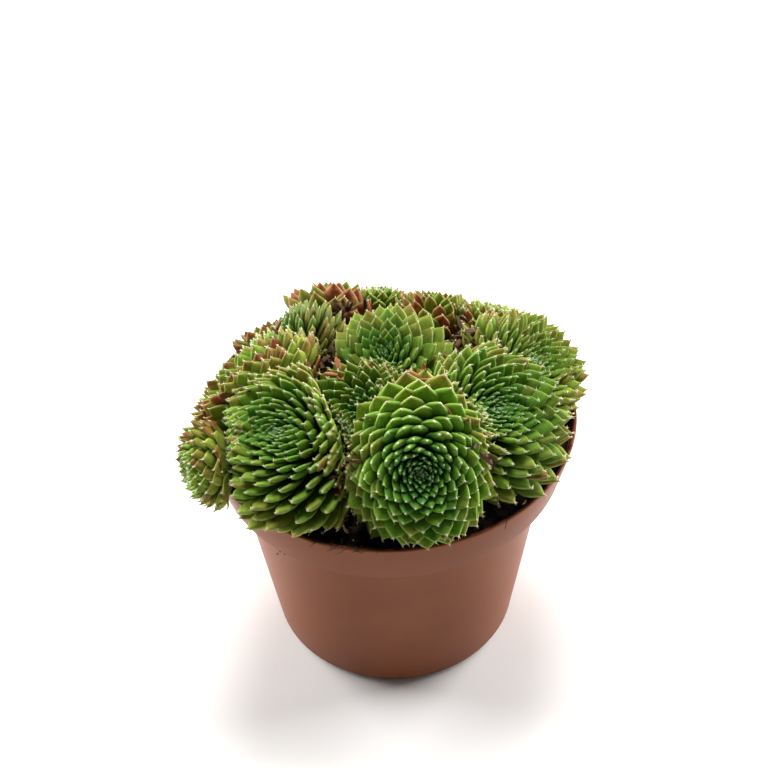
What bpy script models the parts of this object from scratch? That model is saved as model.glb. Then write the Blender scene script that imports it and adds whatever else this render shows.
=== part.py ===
"""A potted houseleek: fourteen fleshy leaf rosettes crowding a round nursery pot filled with peat.

All sizes are in millimetres and become metres where a mesh is made. +Z is up, the front is towards -Y,
and the origin is the centre of the pot's foot, on the surface that the pot stands on.
"""

import math

import bmesh
import bpy
import numpy as np

MM = 0.001
GAP = 0.3

# The pot is a thin moulded plastic one, 12 cm across its rim.
RIM_RADIUS = 60.0
RIM_HEIGHT = 88.0
RIM_WALL = 1.2
BAND_HEIGHT = 16.0
BAND_BOTTOM_RADIUS = 56.3
WALL_TOP_RADIUS = 51.3
WALL_DROP = 1.0
FOOT_RADIUS = 41.4
FOOT_EDGE = 2.0
FLOOR_TOP = 3.2
FOOT_RING_INNER = 31.5
CHANNEL_HEIGHT = 1.5
CHANNEL_SLOPE = 1.0
CENTRE_DISC_RADIUS = 14.5
DRAIN_HOLES = 8
DRAIN_RADIUS = 3.5
DRAIN_CIRCLE = 23.0
DRAIN_SIDES = 10
TURN_STEPS = 32

# The peat fills the pot to just under its rim.
PEAT_TOP = 84.0
PEAT_SWELL = 0.7
PEAT_RINGS = (0.0, 17.0, 33.0, 46.0)
PEAT_STEPS = 16
LEAF_FLOOR = 85.3
LIP_FLOOR = 89.2
LIP_RAMP = (52.5, 56.5)
LIP_CLEAR = 61.2

# A rosette's leaf tips lie on a flattened dome: its height at the middle, as a share of the radius. The
# leaves turn by the golden angle from one to the next.
DOME_HEIGHT = 0.55
DOME_POWER = 1.2
LEAF_TURN = math.radians(137.508)
OPEN_ANGLE = math.radians(110.0)
HANGING_OPEN_ANGLE = math.radians(92.0)

# Where neighbours press on a rosette, its leaves are shorter, or the fan closes up.
LITTLE_SHORTER = 0.72
SHORTEST_SHARE = 0.5
EDGE_MARGIN_SHARE = 0.2
FLANK_MARGIN_SHARE = 0.1
NEIGHBOUR_ROOM = 6.0
BOUND_GAP = 0.21
SOFT_EDGE = 2.2
SOFT_FLOOR = 1.2

# A leaf's root stands further out from the axis than its tip by a swing, so the leaf curves upwards.
LEAF_BASE_SWING = math.radians(26.0)
FLANK_SWING = math.radians(20.0)
SWING_END = math.radians(125.0)
SWING_POWER = 1.4
LEAF_ROOT = 0.28
LEAF_WIDTH_SHARE = 1.08
LEAF_SPACING_SHARE = 0.48
FIRST_LEAF = 0.7

# The dense middle that the leaves stand out of.
CORE_SHARE = 0.64
CORE_SIDES = 10
CORE_ROWS = 7
CORE_UNDERSIDE = 0.55

# A leaf's stations, root and shoulder: place along it, width and thickness as shares of its widest. It
# ends in a point past the shoulder.
LEAF_STATIONS = ((0.40, 0.78, 0.42), (0.76, 1.0, 0.36))
LEAF_FACE_SHARE = 0.3

# Each rosette: centre of its fan, the way it faces round the pot (0 is the front, 90 the right), its rise
# above the horizontal, its radius, its number of leaves, how hard it presses on its neighbours, its stem,
# and how much narrower it is than tall.
ROSETTES = {
    "rosette_front": ((8.0, -39.0, 103.2), 3, 32, 27.5, 44, 25.5, 3.0, 0.17),
    "rosette_front_left": ((-29.5, -26.0, 96.5), -36, 62, 30.5, 48, 29.0, 3.0, 0.0),
    "rosette_middle": ((-6.5, -17.0, 98.0), -12, 48, 22.0, 30, 30.0, 2.6, 0.0),
    "rosette_front_right": ((28.5, -22.0, 99.0), 38, 62, 27.5, 44, 26.0, 3.0, 0.0),
    "rosette_crown": ((1.0, 4.3, 103.2), -20, 64, 20.5, 36, 21.8, 3.0, 0.0),
    "rosette_over_rim": ((-53.6, -28.2, 95.6), -66, 6, 15.0, 24, 5.5, 1.2, 0.0),
    "rosette_left": ((-37.0, -2.5, 94.5), -128, 30, 28.0, 40, 26.0, 3.0, 0.0),
    "rosette_back_left": ((-28.0, 21.5, 93.5), -106, 40, 20.0, 26, 18.5, 2.4, 0.0),
    "rosette_back": ((-16.5, 42.0, 87.0), 172, 34, 22.0, 24, 21.0, 2.4, 0.0),
    "rosette_back_right": ((17.5, 36.5, 86.5), 168, 42, 22.0, 28, 21.0, 2.4, 0.0),
    "rosette_right": ((40.5, 8.0, 91.0), 62, 58, 25.5, 36, 25.0, 3.0, 0.0),
    "offset_back_left": ((-39.5, 30.0, 88.0), -150, 40, 14.5, 15, 13.5, 2.0, 0.0),
    "offset_back": ((-2.0, 50.5, 87.0), 178, 58, 13.0, 12, 11.0, 2.0, 0.0),
    "offset_back_right": ((34.0, 32.0, 88.5), 150, 58, 18.0, 18, 17.0, 2.0, 0.0),
}
HANGING = "rosette_over_rim"
STEM_FOOT_RADIUS = 50.5
STEM_DEPTH = 10.0
STEM_END = PEAT_TOP - STEM_DEPTH
HOLE_SIDES = 8

# The rosette over the rim hangs on a runner: its bends, as distance from the pot's axis and height. The
# leaves of its neighbours lie over the runner.
RUNNER_BENDS = ((54.0, 87.6), (58.5, 89.7))
RUNNER_FLOOR = 91.6
RUNNER_WIDTH = (3.5, 7.5)

COLOURS = {
    "terracotta_plastic": ("9A5F48", 0.45),
    "peat": ("1E1712", 0.95),
    "leaf_green": ("4E8A2F", 0.42),
    "leaf_bronze": ("7F7B3C", 0.42),
}
BRONZE = ("rosette_left", "rosette_back", "rosette_back_right", "offset_back_left", "offset_back")


def linear(channel):
    """One sRGB channel, 0 to 1, as linear light."""
    if channel <= 0.04045:
        return channel / 12.92
    return ((channel + 0.055) / 1.055) ** 2.4


def material(name):
    """A Principled material from the colour table."""
    code, roughness = COLOURS[name]
    found = bpy.data.materials.get(name)
    if found:
        return found
    made = bpy.data.materials.new(name)
    made.use_nodes = True
    shader = made.node_tree.nodes["Principled BSDF"]
    colour = [linear(int(code[i : i + 2], 16) / 255) for i in (0, 2, 4)]
    shader.inputs["Base Color"].default_value = (*colour, 1.0)
    shader.inputs["Roughness"].default_value = roughness
    shader.inputs["Metallic"].default_value = 0.0
    return made


def collection(name, hidden=False):
    made = bpy.data.collections.new(name)
    made.hide_render = hidden
    bpy.context.scene.collection.children.link(made)
    return made


def new_object(name, mesh, home):
    obj = bpy.data.objects.new(name, mesh)
    home.objects.link(obj)
    return obj


def mesh_from(name, shape):
    """A mesh in metres from a bmesh in millimetres."""
    bmesh.ops.scale(shape, vec=(MM, MM, MM), verts=shape.verts)
    mesh = bpy.data.meshes.new(name)
    shape.to_mesh(mesh)
    shape.free()
    return mesh


def evaluated_mesh(obj):
    """The object's mesh with its modifiers applied."""
    graph = bpy.context.evaluated_depsgraph_get()
    return bpy.data.meshes.new_from_object(obj.evaluated_get(graph))


def turned(name, profile, steps, home):
    """A closed body turned about Z from a profile of (radius, height) that starts and ends on the axis."""
    shape = bmesh.new()
    points = [shape.verts.new((radius, 0.0, height)) for radius, height in profile]
    for above, below in zip(points, points[1:]):
        shape.edges.new((above, below))
    obj = new_object(name, mesh_from(name, shape), home)
    screw = obj.modifiers.new("Turn", "SCREW")
    screw.angle = 2 * math.pi
    screw.steps = steps
    screw.render_steps = steps
    screw.use_merge_vertices = True
    screw.merge_threshold = 0.00001
    screw.use_normal_calculate = True
    return obj


def apply_modifiers(obj):
    mesh = evaluated_mesh(obj)
    obj.modifiers.clear()
    old = obj.data
    obj.data = mesh
    mesh.name = obj.name
    bpy.data.meshes.remove(old)


def finish(obj, colour):
    obj.data.materials.clear()
    obj.data.materials.append(material(colour))
    obj.data.shade_smooth()
    obj.data.set_sharp_from_angle(angle=math.radians(35))


def cylinder(name, place, radius, height, sides, home):
    """A plain upright cylinder centred on its place."""
    shape = bmesh.new()
    bmesh.ops.create_cone(
        shape, cap_ends=True, segments=sides, radius1=radius, radius2=radius, depth=height
    )
    bmesh.ops.translate(shape, vec=place, verts=shape.verts)
    obj = new_object(name, mesh_from(name, shape), home)
    obj.display_type = "WIRE"
    obj.hide_render = True
    return obj


def cut(obj, cutters):
    """Takes a collection of cutters out of an object."""
    boolean = obj.modifiers.new("Cut", "BOOLEAN")
    boolean.operation = "DIFFERENCE"
    boolean.operand_type = "COLLECTION"
    boolean.collection = cutters
    boolean.solver = "EXACT"


def band_bottom():
    return RIM_HEIGHT - BAND_HEIGHT


def outer_profile():
    """The pot's outside from the lip down to the centre of its underside."""
    step = band_bottom()
    return [
        (RIM_RADIUS - 0.6, RIM_HEIGHT),
        (RIM_RADIUS - 0.1, RIM_HEIGHT - 0.3),
        (RIM_RADIUS, RIM_HEIGHT - 1.0),
        (BAND_BOTTOM_RADIUS + 0.3, step + 0.7),
        (BAND_BOTTOM_RADIUS - 0.2, step),
        (WALL_TOP_RADIUS + 0.6, step - 0.3),
        (WALL_TOP_RADIUS, step - WALL_DROP),
        (FOOT_RADIUS, FOOT_EDGE + 1.0),
        (FOOT_RADIUS - 0.6, FOOT_EDGE * 0.45),
        (FOOT_RADIUS - FOOT_EDGE, 0.0),
        (FOOT_RING_INNER, 0.0),
        (FOOT_RING_INNER - CHANNEL_SLOPE, CHANNEL_HEIGHT),
        (CENTRE_DISC_RADIUS + CHANNEL_SLOPE, CHANNEL_HEIGHT),
        (CENTRE_DISC_RADIUS, 0.0),
        (0.0, 0.0),
    ]


def inner_profile(inset=0.0):
    """The pot's inside from the centre of its floor up to under its lip, moved in by an inset."""
    step = band_bottom()
    wall = RIM_WALL + inset
    return [
        (0.0, FLOOR_TOP + inset),
        (FOOT_RADIUS - wall - 2.0, FLOOR_TOP + inset),
        (FOOT_RADIUS - wall, FLOOR_TOP + inset + 1.6),
        (WALL_TOP_RADIUS - wall, step - WALL_DROP),
        (WALL_TOP_RADIUS - wall + 0.6, step + 0.9 + inset),
        (BAND_BOTTOM_RADIUS - wall - 0.2, step + 1.3 + inset),
    ]


def build_pot(home, cutters):
    lip_inside = [
        (RIM_RADIUS - RIM_WALL, RIM_HEIGHT - 1.0),
        (RIM_RADIUS - RIM_WALL + 0.1, RIM_HEIGHT - 0.3),
    ]
    pot = turned("pot", inner_profile() + lip_inside + outer_profile(), TURN_STEPS, home)
    for i in range(DRAIN_HOLES):
        angle = 2 * math.pi * (i + 0.5) / DRAIN_HOLES
        place = (DRAIN_CIRCLE * math.cos(angle), DRAIN_CIRCLE * math.sin(angle), FLOOR_TOP)
        cylinder(f"drain_cutter_{i}", place, DRAIN_RADIUS, 4 * FLOOR_TOP, DRAIN_SIDES, cutters)
    cut(pot, cutters)
    apply_modifiers(pot)
    finish(pot, "terracotta_plastic")
    return pot


def peat_height(x, y):
    """The uneven top of the peat."""
    wave = math.sin(0.19 * x + 1.3) * math.cos(0.23 * y - 0.4) + 0.6 * math.sin(0.41 * x - 0.37 * y)
    return PEAT_TOP + PEAT_SWELL * wave / 1.6


def build_peat(home, cutters):
    """A plug that fills the pot, with a plain hole for each stem."""
    slope = (RIM_RADIUS - BAND_BOTTOM_RADIUS) / BAND_HEIGHT
    edge = BAND_BOTTOM_RADIUS - RIM_WALL - GAP + slope * (PEAT_TOP - PEAT_SWELL - band_bottom())
    top = [(radius, PEAT_TOP) for radius in PEAT_RINGS]
    side = [(edge, PEAT_TOP), *reversed(inner_profile(GAP))]
    peat = turned("peat", top + side, PEAT_STEPS, home)
    apply_modifiers(peat)
    for vertex in peat.data.vertices:
        x, y, z = (value / MM for value in vertex.co)
        if z > PEAT_TOP - 0.01:
            vertex.co.z = peat_height(x, y) * MM
    for name, rosette in rosettes.items():
        place = (*rosette.foot, STEM_END - GAP + STEM_DEPTH)
        cylinder(f"hole_{name}", place, rosette.stem + GAP, 2 * STEM_DEPTH, HOLE_SIDES, cutters)
    cut(peat, cutters)
    apply_modifiers(peat)
    finish(peat, "peat")
    return peat


def smooth_step(low, high, value):
    share = np.clip((value - low) / (high - low), 0.0, 1.0)
    return share * share * (3 - 2 * share)


def floor_under(points):
    """The lowest height a leaf may reach: over the peat, the pot's lip and the runner across it."""
    radius = np.hypot(points[..., 0], points[..., 1])
    floor = LEAF_FLOOR + (LIP_FLOOR - LEAF_FLOOR) * smooth_step(*LIP_RAMP, radius)
    hanging = np.array(ROSETTES[HANGING][0][:2])
    outward = hanging / np.linalg.norm(hanging)
    along = np.clip(points[..., :2] @ outward, STEM_FOOT_RADIUS, RIM_RADIUS)
    aside = np.linalg.norm(points[..., :2] - along[..., None] * outward, axis=-1)
    runner = LEAF_FLOOR + (RUNNER_FLOOR - LEAF_FLOOR) * (1 - smooth_step(*RUNNER_WIDTH, aside))
    return np.maximum(floor, runner)


def dome(angle):
    """How far the leaf tips stand from the centre at an angle from the axis, as a share of the radius."""
    return DOME_HEIGHT + (1 - DOME_HEIGHT) * np.sin(np.clip(angle, 0, math.pi / 2)) ** DOME_POWER


class Rosette:
    """One rosette's place, axis, size and the flat bounds where its neighbours press on it."""

    def __init__(self, name, centre, facing, rise, radius, leaves, push, stem, narrow):
        self.name = name
        self.centre = np.array(centre)
        turn = math.radians(facing)
        lift = math.radians(rise)
        level = math.cos(lift)
        self.axis = np.array((math.sin(turn) * level, -math.cos(turn) * level, math.sin(lift)))
        self.across = np.array((math.cos(turn), math.sin(turn), 0.0))
        self.along = np.cross(self.axis, self.across)
        self.radius = radius
        self.leaves = leaves
        self.push = push
        self.stem = stem
        self.narrow = narrow
        self.hangs = name == HANGING
        self.open_angle = HANGING_OPEN_ANGLE if self.hangs else OPEN_ANGLE
        self.bounds = []
        reach = float(np.hypot(*self.centre[:2]))
        inward = min(1.0, STEM_FOOT_RADIUS / max(reach, 1.0))
        self.foot = (self.centre[0] * inward, self.centre[1] * inward)

    def direction(self, turn):
        return math.cos(turn) * self.across + math.sin(turn) * self.along

    def full_reach(self, turn, angle):
        """How far a full leaf's tip stands from the centre; a narrow rosette is less wide than it is tall."""
        return self.radius * dome(angle) * (1 - self.narrow * (math.cos(turn) * np.sin(angle)) ** 2)

    def meet(self, others):
        """Finds the flat bounds, one for each neighbour."""
        for other in others:
            offset = other.centre - self.centre
            distance = float(np.linalg.norm(offset))
            if other is self or distance > self.radius + other.radius + NEIGHBOUR_ROOM:
                continue
            reach = distance * self.push / (self.push + other.push) - BOUND_GAP
            self.bounds.append((offset / distance, reach))

    def clear(self, tips, margin):
        """Which of the points lie inside the bounds and over the peat by a margin."""
        inside = np.ones(len(tips), bool)
        for normal, distance in self.bounds:
            inside &= (tips - self.centre) @ normal <= distance - margin
        above = tips[:, 2] >= floor_under(tips) + margin
        if self.hangs:
            above |= np.hypot(tips[:, 0], tips[:, 1]) >= LIP_CLEAR + margin
        return inside & above

    def open_to(self, turn, margin):
        """The widest angle from the axis at which a full leaf in this direction is clear of the bounds."""
        angles = np.arange(math.radians(4), self.open_angle + 0.01, math.radians(1.5))
        reach = self.full_reach(turn, angles)[:, None]
        spread = np.sin(angles)[:, None] * self.direction(turn)
        tips = self.centre + reach * (np.cos(angles)[:, None] * self.axis + spread)
        blocked = np.nonzero(~self.clear(tips, margin))[0]
        if len(blocked) == 0:
            return float(angles[-1])
        return float(angles[max(blocked[0] - 1, 0)])

    def reach_share(self, turn, angle, margin):
        """The share of its full length that a leaf in this direction has before it meets a bound."""
        out = math.cos(angle) * self.axis + math.sin(angle) * self.direction(turn)
        shares = np.linspace(0.3, 1.0, 29)
        tips = self.centre + float(self.full_reach(turn, angle)) * shares[:, None] * out
        blocked = np.nonzero(~self.clear(tips, margin))[0]
        if len(blocked) == 0:
            return 1.0
        return float(shares[max(blocked[0] - 1, 0)])

    def squeeze(self, points):
        """Presses points softly back inside the bounds, so that no leaf crosses another rosette."""
        points = points.copy()
        for _ in range(2):
            for normal, distance in self.bounds:
                reach = (points - self.centre) @ normal
                start = distance - SOFT_EDGE
                pressed = start + SOFT_EDGE * np.tanh((reach - start) / SOFT_EDGE)
                moved = np.where(reach > start, pressed - reach, 0.0)
                points += moved[..., None] * normal
            if self.hangs:
                reach = np.hypot(points[..., 0], points[..., 1])
                drop = LIP_FLOOR - points[..., 2]
                beside = (drop > LIP_CLEAR - reach) & (drop > 0) & (reach < LIP_CLEAR)
                over = (drop > 0) & (reach < LIP_CLEAR) & ~beside
                points[..., :2] *= np.where(beside, LIP_CLEAR / reach, 1.0)[..., None]
                points[..., 2] = np.where(over, LIP_FLOOR, points[..., 2])
            else:
                floor = floor_under(points)
                above = np.minimum(points[..., 2] - floor, SOFT_FLOOR)
                raised = floor + SOFT_FLOOR * np.exp((above - SOFT_FLOOR) / SOFT_FLOOR)
                low = points[..., 2] < floor + SOFT_FLOOR
                points[..., 2] = np.where(low, raised, points[..., 2])
        return points

    def placed_leaves(self):
        """Each leaf's turn, angle from the axis, length, width and bend, from the middle outwards.

        The fan is closed up where it would cross a bound, and a leaf that finds no room there lies lower
        on that side and is shorter.
        """
        placed = []
        tips = []
        for k in range(self.leaves):
            share = (k + FIRST_LEAF) / self.leaves
            turn = k * LEAF_TURN + self.radius
            spacing = self.radius * math.sqrt(2 * math.pi * share / self.leaves)
            width = LEAF_WIDTH_SHARE * spacing
            widest = self.open_to(turn, EDGE_MARGIN_SHARE * width + GAP)
            crowding = min(2.0, self.open_angle / widest)
            fanned = widest * (crowding * share - (crowding - 1) * share * share)
            swing = LEAF_BASE_SWING * (widest / self.open_angle) ** 2
            flank = share * self.open_angle
            reach = self.reach_share(turn, flank, FLANK_MARGIN_SHARE * width + GAP)
            choices = [(min(flank, fanned), 1.0, swing)]
            if reach > SHORTEST_SHARE:
                choices.insert(0 if reach > LITTLE_SHORTER else 1, (flank, reach, FLANK_SWING))
            for angle, reach, bend in choices:
                out = math.cos(angle) * self.axis + math.sin(angle) * self.direction(turn)
                length = reach * float(self.full_reach(turn, angle))
                tip = self.centre + length * out
                near = LEAF_SPACING_SHARE * spacing
                if tips and np.linalg.norm(np.array(tips) - tip, axis=1).min() < near:
                    continue
                tips.append(tip)
                placed.append((turn, angle, length, width, bend))
                break
        return placed

    def leaf_points(self, turn, angle, length, width, bend):
        """The leaf's three-sided sections, flat above and keeled below, and its tip."""
        outward = self.direction(turn)
        side = np.cross(self.axis, outward)

        def spine(share):
            swing = angle + bend * (1 - angle / SWING_END) * (1 - share) ** SWING_POWER
            out = math.cos(swing) * self.axis + math.sin(swing) * outward
            return self.centre + length * (LEAF_ROOT + (1 - LEAF_ROOT) * share) * out

        rings = []
        for share, broad, thick in LEAF_STATIONS:
            middle = spine(share)
            ahead = spine(share + 0.01) - middle
            ahead /= np.linalg.norm(ahead)
            face = np.cross(side, ahead)
            if face @ outward > 0:
                face = -face
            half = 0.5 * width * broad
            depth = width * thick
            upper = middle + face * depth * LEAF_FACE_SHARE
            rings.append([upper - side * half, upper + side * half, upper - face * depth])
        return self.squeeze(np.array(rings)), self.squeeze(spine(1.0)[None])[0]


def leaf_object(name, rings, tip, home):
    """A loft through the leaf's sections, closed at its root and drawn to a point."""
    shape = bmesh.new()
    loops = [[shape.verts.new(point) for point in ring] for ring in rings]
    point = shape.verts.new(tip)
    count = len(loops[0])
    for lower, upper in zip(loops, loops[1:]):
        for i in range(count):
            j = (i + 1) % count
            shape.faces.new((lower[i], lower[j], upper[j]))
            shape.faces.new((lower[i], upper[j], upper[i]))
    for i in range(count):
        shape.faces.new((loops[-1][i], loops[-1][(i + 1) % count], point))
    shape.faces.new(loops[0][::-1])
    bmesh.ops.recalc_face_normals(shape, faces=shape.faces)
    return new_object(name, mesh_from(name, shape), home)


def core_object(rosette, home):
    """The dense middle of the rosette, where the leaves' roots meet, as a lump under their tips."""
    shape = bmesh.new()
    bmesh.ops.create_uvsphere(shape, u_segments=CORE_SIDES, v_segments=CORE_ROWS, radius=1.0)
    for vertex in shape.verts:
        angle = math.acos(max(-1.0, min(1.0, vertex.co.z)))
        turn = math.atan2(vertex.co.y, vertex.co.x)
        reach = CORE_SHARE * float(rosette.full_reach(turn, angle))
        reach *= rosette.reach_share(turn, angle, GAP)
        if angle > math.pi / 2:
            reach *= 1 - CORE_UNDERSIDE * (angle / (math.pi / 2) - 1)
        out = math.cos(angle) * rosette.axis + math.sin(angle) * rosette.direction(turn)
        vertex.co = rosette.squeeze((rosette.centre + reach * out)[None])[0]
    bmesh.ops.triangulate(shape, faces=shape.faces)
    return new_object(rosette.name, mesh_from(rosette.name, shape), home)


def stem_object(rosette, home):
    """A round stem from the middle of the rosette down into its hole in the peat."""
    x, y = rosette.foot
    route = [(x, y, STEM_END), (x, y, LEAF_FLOOR)]
    if rosette.hangs:
        for reach, height in RUNNER_BENDS:
            route.append((x * reach / STEM_FOOT_RADIUS, y * reach / STEM_FOOT_RADIUS, height))
    route.append(tuple(rosette.centre))
    curve = bpy.data.curves.new("stem", "CURVE")
    curve.dimensions = "3D"
    curve.bevel_depth = rosette.stem * MM
    curve.bevel_resolution = 2
    curve.use_fill_caps = True
    spline = curve.splines.new("POLY")
    spline.points.add(len(route) - 1)
    for point, place in zip(spline.points, route):
        point.co = (*(value * MM for value in place), 1.0)
    tube = new_object("stem", curve, home)
    mesh = evaluated_mesh(tube)
    shape = bmesh.new()
    shape.from_mesh(mesh)
    bmesh.ops.remove_doubles(shape, verts=shape.verts, dist=0.00001)
    bmesh.ops.recalc_face_normals(shape, faces=shape.faces)
    shape.to_mesh(mesh)
    shape.free()
    solid = new_object("stem_solid", mesh, home)
    solid.matrix_world = tube.matrix_world
    bpy.data.objects.remove(tube)
    return solid


def keep_largest_shell(mesh):
    """Drops sealed hollows and loose scraps that joining the leaves left behind."""
    shape = bmesh.new()
    shape.from_mesh(mesh)
    bmesh.ops.triangulate(shape, faces=shape.faces)
    unseen = set(shape.verts)
    shells = []
    while unseen:
        front = [unseen.pop()]
        shell = list(front)
        while front:
            for edge in front.pop().link_edges:
                for vertex in edge.verts:
                    if vertex in unseen:
                        unseen.remove(vertex)
                        front.append(vertex)
                        shell.append(vertex)
        shells.append(shell)
    shells.sort(key=len)
    for shell in shells[:-1]:
        bmesh.ops.delete(shape, geom=shell, context="VERTS")
    shape.to_mesh(mesh)
    shape.free()


def build_rosette(rosette, home):
    """Leaves, core and stem joined into one body."""
    pieces = collection(f"{rosette.name}_pieces")
    core = core_object(rosette, home)
    stem_object(rosette, pieces)
    for k, leaf in enumerate(rosette.placed_leaves()):
        rings, tip = rosette.leaf_points(*leaf)
        leaf_object(f"leaf_{k}", rings, tip, pieces)
    join = core.modifiers.new("Join", "BOOLEAN")
    join.operation = "UNION"
    join.operand_type = "COLLECTION"
    join.collection = pieces
    join.solver = "MANIFOLD"
    apply_modifiers(core)
    for piece in list(pieces.objects):
        bpy.data.objects.remove(piece)
    bpy.data.collections.remove(pieces)
    keep_largest_shell(core.data)
    finish(core, "leaf_bronze" if rosette.name in BRONZE else "leaf_green")
    return core


for old in list(bpy.data.objects):
    bpy.data.objects.remove(old)

houseleek = collection("potted_houseleek")
drain_cutters = collection("drain_cutters", hidden=True)
hole_cutters = collection("hole_cutters", hidden=True)

rosettes = {name: Rosette(name, *values) for name, values in ROSETTES.items()}
for one in rosettes.values():
    one.meet(rosettes.values())

build_pot(houseleek, drain_cutters)
build_peat(houseleek, hole_cutters)
for one in rosettes.values():
    build_rosette(one, houseleek)
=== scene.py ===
from math import acos, atan2, copysign, cos, exp, hypot, pi, radians, sin, sqrt, tan

import bmesh
import bpy
import numpy as np
from mathutils import Matrix, Vector, noise


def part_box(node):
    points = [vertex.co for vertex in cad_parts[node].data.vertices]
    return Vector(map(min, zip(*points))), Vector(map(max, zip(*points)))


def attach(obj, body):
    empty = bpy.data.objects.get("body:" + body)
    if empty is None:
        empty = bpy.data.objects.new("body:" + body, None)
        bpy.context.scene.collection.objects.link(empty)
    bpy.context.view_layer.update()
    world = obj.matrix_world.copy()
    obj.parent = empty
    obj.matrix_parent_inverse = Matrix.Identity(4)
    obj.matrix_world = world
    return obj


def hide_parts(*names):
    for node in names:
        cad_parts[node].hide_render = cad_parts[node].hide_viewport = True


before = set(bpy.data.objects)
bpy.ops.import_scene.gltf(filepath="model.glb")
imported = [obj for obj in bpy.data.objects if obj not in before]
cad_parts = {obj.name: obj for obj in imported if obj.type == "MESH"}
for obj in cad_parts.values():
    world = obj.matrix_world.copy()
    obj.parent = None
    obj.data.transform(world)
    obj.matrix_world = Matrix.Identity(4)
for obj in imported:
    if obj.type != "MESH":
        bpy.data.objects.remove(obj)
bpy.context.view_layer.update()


# The pot is one thin injection-moulded piece of polypropylene: a rim band that stands out over a tapered
# wall, and a foot of a ring and a disc, with drain holes in the channel between them.
MM = 0.001
pot_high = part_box("pot")[1]
RIM_RADIUS = pot_high.x / MM
RIM_HEIGHT = pot_high.z / MM
RIM_WALL = 1.2
BAND_BOTTOM = RIM_HEIGHT - 16.0
BAND_BOTTOM_RADIUS = 56.3
BAND_INSIDE = BAND_BOTTOM_RADIUS - RIM_WALL
STEP_INSIDE = BAND_BOTTOM - 1.0
WALL_TOP_RADIUS = 51.3
WALL_INSIDE = WALL_TOP_RADIUS - RIM_WALL
FOOT_RADIUS = 41.4
FOOT_INSIDE = FOOT_RADIUS - RIM_WALL
FOOT_RING_OUTER = 39.4
FOOT_RING_INNER = 31.5
FOOT_DISC = 14.5
CHANNEL_HEIGHT = 1.5
CHANNEL_SLOPE = 1.0
FLOOR_TOP = 3.2
DRAIN_HOLES = 8
DRAIN_RADIUS = 3.5
DRAIN_CIRCLE = 23.0
HOLE_SIDES = 32
HOLE_EDGE = radians(50)
POT_STEPS = 160
FILLET_STEPS = 5


def linear(code):
    """An sRGB hex value as linear light with full alpha."""
    channels = [int(code[i : i + 2], 16) / 255 for i in (0, 2, 4)]
    light = [c / 12.92 if c <= 0.04045 else ((c + 0.055) / 1.055) ** 2.4 for c in channels]
    return (*light, 1.0)


def new_material(name):
    """An empty material, its node tree and its Principled shader, already linked to the output."""
    made = bpy.data.materials.new(name)
    made.use_nodes = True
    tree = made.node_tree
    return made, tree, tree.nodes["Principled BSDF"]


def feed(node, sockets):
    """Gives a node's sockets their values, or links them where another node's output is given."""
    for name, value in sockets.items():
        if isinstance(value, bpy.types.NodeSocket):
            node.id_data.links.new(value, node.inputs[name])
        else:
            node.inputs[name].default_value = value


def add(tree, kind, sockets=None, stops=(), out=0, **settings):
    """Adds a node with its settings, what goes into it and a ramp's stops, and gives one of its outputs."""
    node = tree.nodes.new("ShaderNode" + kind)
    for name, value in settings.items():
        setattr(node, name, value)
    feed(node, sockets or {})
    for i, (place, code) in enumerate(stops):
        ramp = node.color_ramp.elements
        stop = ramp[i] if i < len(ramp) else ramp.new(place)
        stop.position = place
        stop.color = linear(code)
    return node.outputs[out]


def new_object(name, data):
    """A new object in the scene."""
    obj = bpy.data.objects.new(name, data)
    bpy.context.scene.collection.objects.link(obj)
    return obj


def mesh_from(name, shape):
    """A mesh made from a shape, which is then let go."""
    mesh = bpy.data.meshes.new(name)
    shape.to_mesh(mesh)
    shape.free()
    return mesh


def piece(name, mesh, materials):
    """A mesh as a piece of the houseleek, riding on its one body."""
    obj = new_object(name, mesh)
    for material in materials:
        mesh.materials.append(material)
    mesh.shade_smooth()
    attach(obj, "root")
    return obj


def rounded(corners):
    """An outline through corners of (radius, height, fillet), with each fillet as an arc."""
    outline = []
    for i, (x, y, fillet) in enumerate(corners):
        here = Vector((x, y))
        if fillet == 0:
            outline.append((x, y))
            continue
        back = (Vector(corners[i - 1][:2]) - here).normalized()
        ahead = (Vector(corners[i + 1][:2]) - here).normalized()
        half = back.angle(ahead) / 2
        start = here + back * fillet / tan(half)
        centre = here + (back + ahead).normalized() * fillet / sin(half)
        first = start - centre
        last = here + ahead * fillet / tan(half) - centre
        turn = copysign(pi - 2 * half, first.x * last.y - first.y * last.x)
        for k in range(FILLET_STEPS + 1):
            cosine, sine = cos(turn * k / FILLET_STEPS), sin(turn * k / FILLET_STEPS)
            radius = centre.x + first.x * cosine - first.y * sine
            height = centre.y + first.x * sine + first.y * cosine
            outline.append((radius, height))
    return outline


def turned(name, outline, steps):
    """A mesh turned about Z from an outline of (radius, height) in millimetres that starts and ends there."""
    shape = bmesh.new()
    rings = []
    angles = [2 * pi * i / steps for i in range(steps)]
    for radius, height in outline:
        if radius == 0:
            rings.append([shape.verts.new((0, 0, height * MM))] * steps)
            continue
        ring = [(radius * cos(a) * MM, radius * sin(a) * MM, height * MM) for a in angles]
        rings.append([shape.verts.new(place) for place in ring])
    for above, below in zip(rings, rings[1:]):
        for i in range(steps):
            j = (i + 1) % steps
            corners = dict.fromkeys((above[i], below[i], below[j], above[j]))
            if len(corners) > 2:
                shape.faces.new(tuple(corners))
    bmesh.ops.recalc_face_normals(shape, faces=shape.faces)
    return mesh_from(name, shape)


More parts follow.
